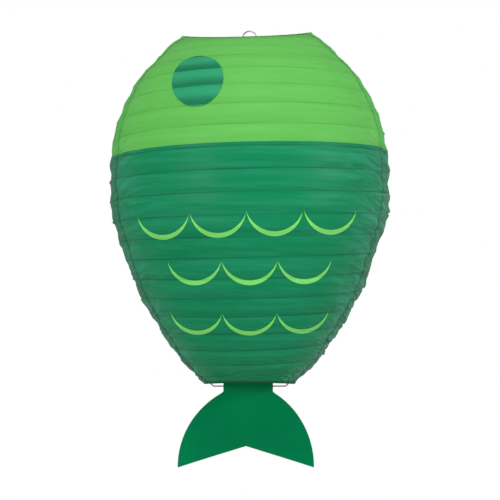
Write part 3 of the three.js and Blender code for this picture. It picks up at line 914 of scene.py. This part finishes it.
def frame_side(side):
    """From the middle of the bar up to the ear, on one side."""
    top = stretched(0 if side > 0 else math.pi, 0)
    top_x, top_z = abs(float(top[0])), float(top[2])
    ear_z = top_z - WIRE_CLEAR - EAR_BEND
    foot_x = (OUTLINE[-1][0] - 0.5) * MM
    foot_z = OUTLINE[-1][1] * MM + WIRE_CLEAR + FOOT_BEND
    corner = 3 * MM
    leg_bend = 6 * MM
    leg_gap = 14 * MM  # from a foot or an ear to the leg's nearest bend
    arm_in, arm_drop = 12 * MM, 1.5 * MM  # where the arm comes away from the ear
    points = np.vstack([
        [(BAR_END_GAP / 2, 0, BAR_Z)],
        bend(BAR_HALF - corner, BAR_Z + corner, corner, -90, -40, 6),
        bend(foot_x, foot_z, FOOT_BEND, -115, 100, 14),
        bend(LEG_X + leg_bend, foot_z + leg_gap, leg_bend, -110, -180, 8),
        bend(LEG_X + leg_bend, ear_z - leg_gap, leg_bend, 180, 110, 8),
        bend(top_x, ear_z, EAR_BEND, -100, 98, 14),
        [(top_x - arm_in, 0, ear_z + EAR_BEND - arm_drop)],
    ])
    points[:, 0] *= side
    return points


def frame_wire():
    """The whole frame as one wire: the bar, one side, an arm, the loop, and the same back again."""
    arm_start = 9 * MM  # from the middle, where an arm turns up into the loop
    centre = -(LOOP_RADIUS - WIRE_RADIUS)
    loop = bend(0, centre, LOOP_RADIUS, -90, 270, 48)
    loop[:, 1] = LOOP_CROSSING * np.linspace(-1, 1, len(loop))
    arms = [np.array([[s * arm_start, s * LOOP_CROSSING, centre - LOOP_RADIUS]]) for s in (-1, 1)]
    path = np.vstack([frame_side(-1), arms[0], loop, arms[1], frame_side(1)[::-1]])
    return tube("frame_wire", path, WIRE_RADIUS, 14, ends=0.3 * MM)


frame_piece = dress(frame_wire(), WIRE)
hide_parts("expander_frame")

# ---- Tail --------------------------------------------------------------------------------------

CARD = 0.5 * MM  # thickness of the card
CARD_BACK = -1.25 * MM  # its back face, behind the bar
FIN_CURL = 2.2 * MM
FIN_SWAY = 0.35 * MM
STRAP_HALF = 22 * MM
STRAP = 0.3 * MM  # thickness of the strap
STRAP_PLAY = 0.45 * MM  # round the bar


def fin_circle():
    """Centre and radius of the arc that is a fin's outer edge, from the middle of the card."""
    start = np.array([NECK_HALF, TAIL_SHOULDER_Z])
    end = np.array([TAIL_HALF, TAIL_TIP_Z])
    chord = end - start
    length = np.linalg.norm(chord)
    radius = (length**2 / 4 + FIN_SAGITTA**2) / (2 * FIN_SAGITTA)
    outward = np.array([-chord[1], chord[0]]) / length
    return (start + end) / 2 - outward * (radius - FIN_SAGITTA), radius


FIN_CENTRE, FIN_RADIUS = fin_circle()


def tail_half_width(z):
    fin = FIN_CENTRE[0] + np.sqrt(np.maximum(FIN_RADIUS**2 - (z - FIN_CENTRE[1]) ** 2, 0))
    return np.where(z > TAIL_SHOULDER_Z, NECK_HALF, fin)


def tail_points(u, v):
    """Places on the card: u from -1 to 1 across it, v from 0 at the neck's top to 1 at its lower edge."""
    top = BAR_Z + NECK_ABOVE_BAR
    low = np.full(u.shape, TAIL_NOTCH_Z)
    for _ in range(8):
        low = TAIL_NOTCH_Z + (TAIL_TIP_Z - TAIL_NOTCH_Z) * np.abs(u) * tail_half_width(low) / TAIL_HALF
    z = top + (low - top) * v
    half = tail_half_width(z)
    spread = (half - NECK_HALF) / (TAIL_HALF - NECK_HALF)
    x = TAIL_X + NECK_SHIFT * (1 - spread) + u * half
    return x, z, spread


def slab(name, front, back, materials):
    """A closed thin solid from two grids of points, its rim in the second material."""
    rows, columns = front.shape[:2]
    count = rows * columns
    faces = grid_faces(rows, columns)
    faces += [tuple(count + k for k in reversed(f)) for f in grid_faces(rows, columns)]
    plain = len(faces)
    index = np.arange(count).reshape(rows, columns)
    border = np.concatenate([index[0], index[1:, -1], index[-1, -2::-1], index[-2:0:-1, 0]]).tolist()
    for a, b in zip(border, border[1:] + border[:1]):
        faces.append((a, b, count + b, count + a))
    piece = new_object(name, np.concatenate([front.reshape(-1, 3), back.reshape(-1, 3)]), faces)
    dress(piece, *materials)
    for k, polygon in enumerate(piece.data.polygons):
        polygon.material_index = int(k >= plain)
    piece.data.set_sharp_from_angle(angle=math.radians(40))
    return piece


def tail_card():
    edge = np.sin(np.linspace(-1, 1, 81) * math.pi / 2)
    u, v = np.meshgrid(edge, np.linspace(0, 1, 61))
    x, z, spread = tail_points(u, v)
    curl = -FIN_CURL * (np.abs(u) ** 2.2) * spread**2  # the fins' tips curl a little to the front
    sway = FIN_SWAY * noise(x / 0.05, z / 0.04, 31) * spread
    y = CARD_BACK + curl + sway
    back = np.stack([x, y, z], -1)
    front = np.stack([x, y - CARD, z], -1)
    return slab("tail_fin", front, back, (CARD_STOCK, CARD_EDGE))


tail = tail_card()
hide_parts("tail")


def strap():
    """The strap behind the bar: two glued wings and a round saddle between them."""
    inner = WIRE_RADIUS + STRAP_PLAY
    wing_y = CARD_BACK + 0.03 * MM
    reach = inner + 6.5 * MM
    turn = np.radians(np.linspace(100, -100, 21))
    section = [(wing_y, z, 1, 0) for z in np.linspace(reach, inner + 0.6 * MM, 5)]
    section += [(inner * math.cos(a), inner * math.sin(a), math.cos(a), math.sin(a)) for a in turn]
    section += [(wing_y, -z, 1, 0) for z in np.linspace(inner + 0.6 * MM, reach, 5)]
    xs = TAIL_X + NECK_SHIFT + np.linspace(-STRAP_HALF, STRAP_HALF, 23)
    near = np.array([[(x, y, BAR_Z + z) for x in xs] for y, z, _, _ in section])
    far = np.array([[(x, y + STRAP * ny, BAR_Z + z + STRAP * nz) for x in xs] for y, z, ny, nz in section])
    return slab("tail_strap_paper", near, far, (CARD_STOCK, CARD_EDGE))


tail_strap = strap()
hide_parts("tail_strap")

# ---- Bodies ------------------------------------------------------------------------------------

for piece in (frame_piece, bottom_ring, bottom_hem):
    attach(piece, "expander")
for piece in (tail, tail_strap):
    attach(piece, "tail")
for piece in SHELL:
    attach(piece, "shell")
    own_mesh(piece)
for piece in (bottom_ring, bottom_hem):
    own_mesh(piece)

# ---- Floor -------------------------------------------------------------------------------------

FLOOR_Z = -0.62
FLOOR_REACH = 12


def make_floor():
    reach = FLOOR_REACH
    corners = [(x * reach, y * reach, FLOOR_Z) for x, y in ((-1, -1), (1, -1), (1, 1), (-1, 1))]
    floor = new_object("floor", corners, [(0, 1, 2, 3)], smooth=False)
    n = Nodes("floor_paper")
    grain = n.noise(n.coordinates(), 3, 2)
    n.join(n.ramp(grain, [(0, (0.62,) * 3), (1, (0.66,) * 3)]), n.shader.inputs["Base Color"])
    n.shader.inputs["Roughness"].default_value = 0.9
    n.shader.inputs["Specular IOR Level"].default_value = 0.1
    white = n.add("ShaderNodeEmission")
    path = n.add("ShaderNodeLightPath")
    mixed = n.add("ShaderNodeMixShader")
    n.join(path.outputs["Is Camera Ray"], mixed.inputs["Fac"])
    n.join(n.shader.outputs["BSDF"], mixed.inputs[1])
    n.join(white.outputs["Emission"], mixed.inputs[2])
    n.join(mixed.outputs["Shader"], n.output.inputs["Surface"])
    dress(floor, n.material)


make_floor()
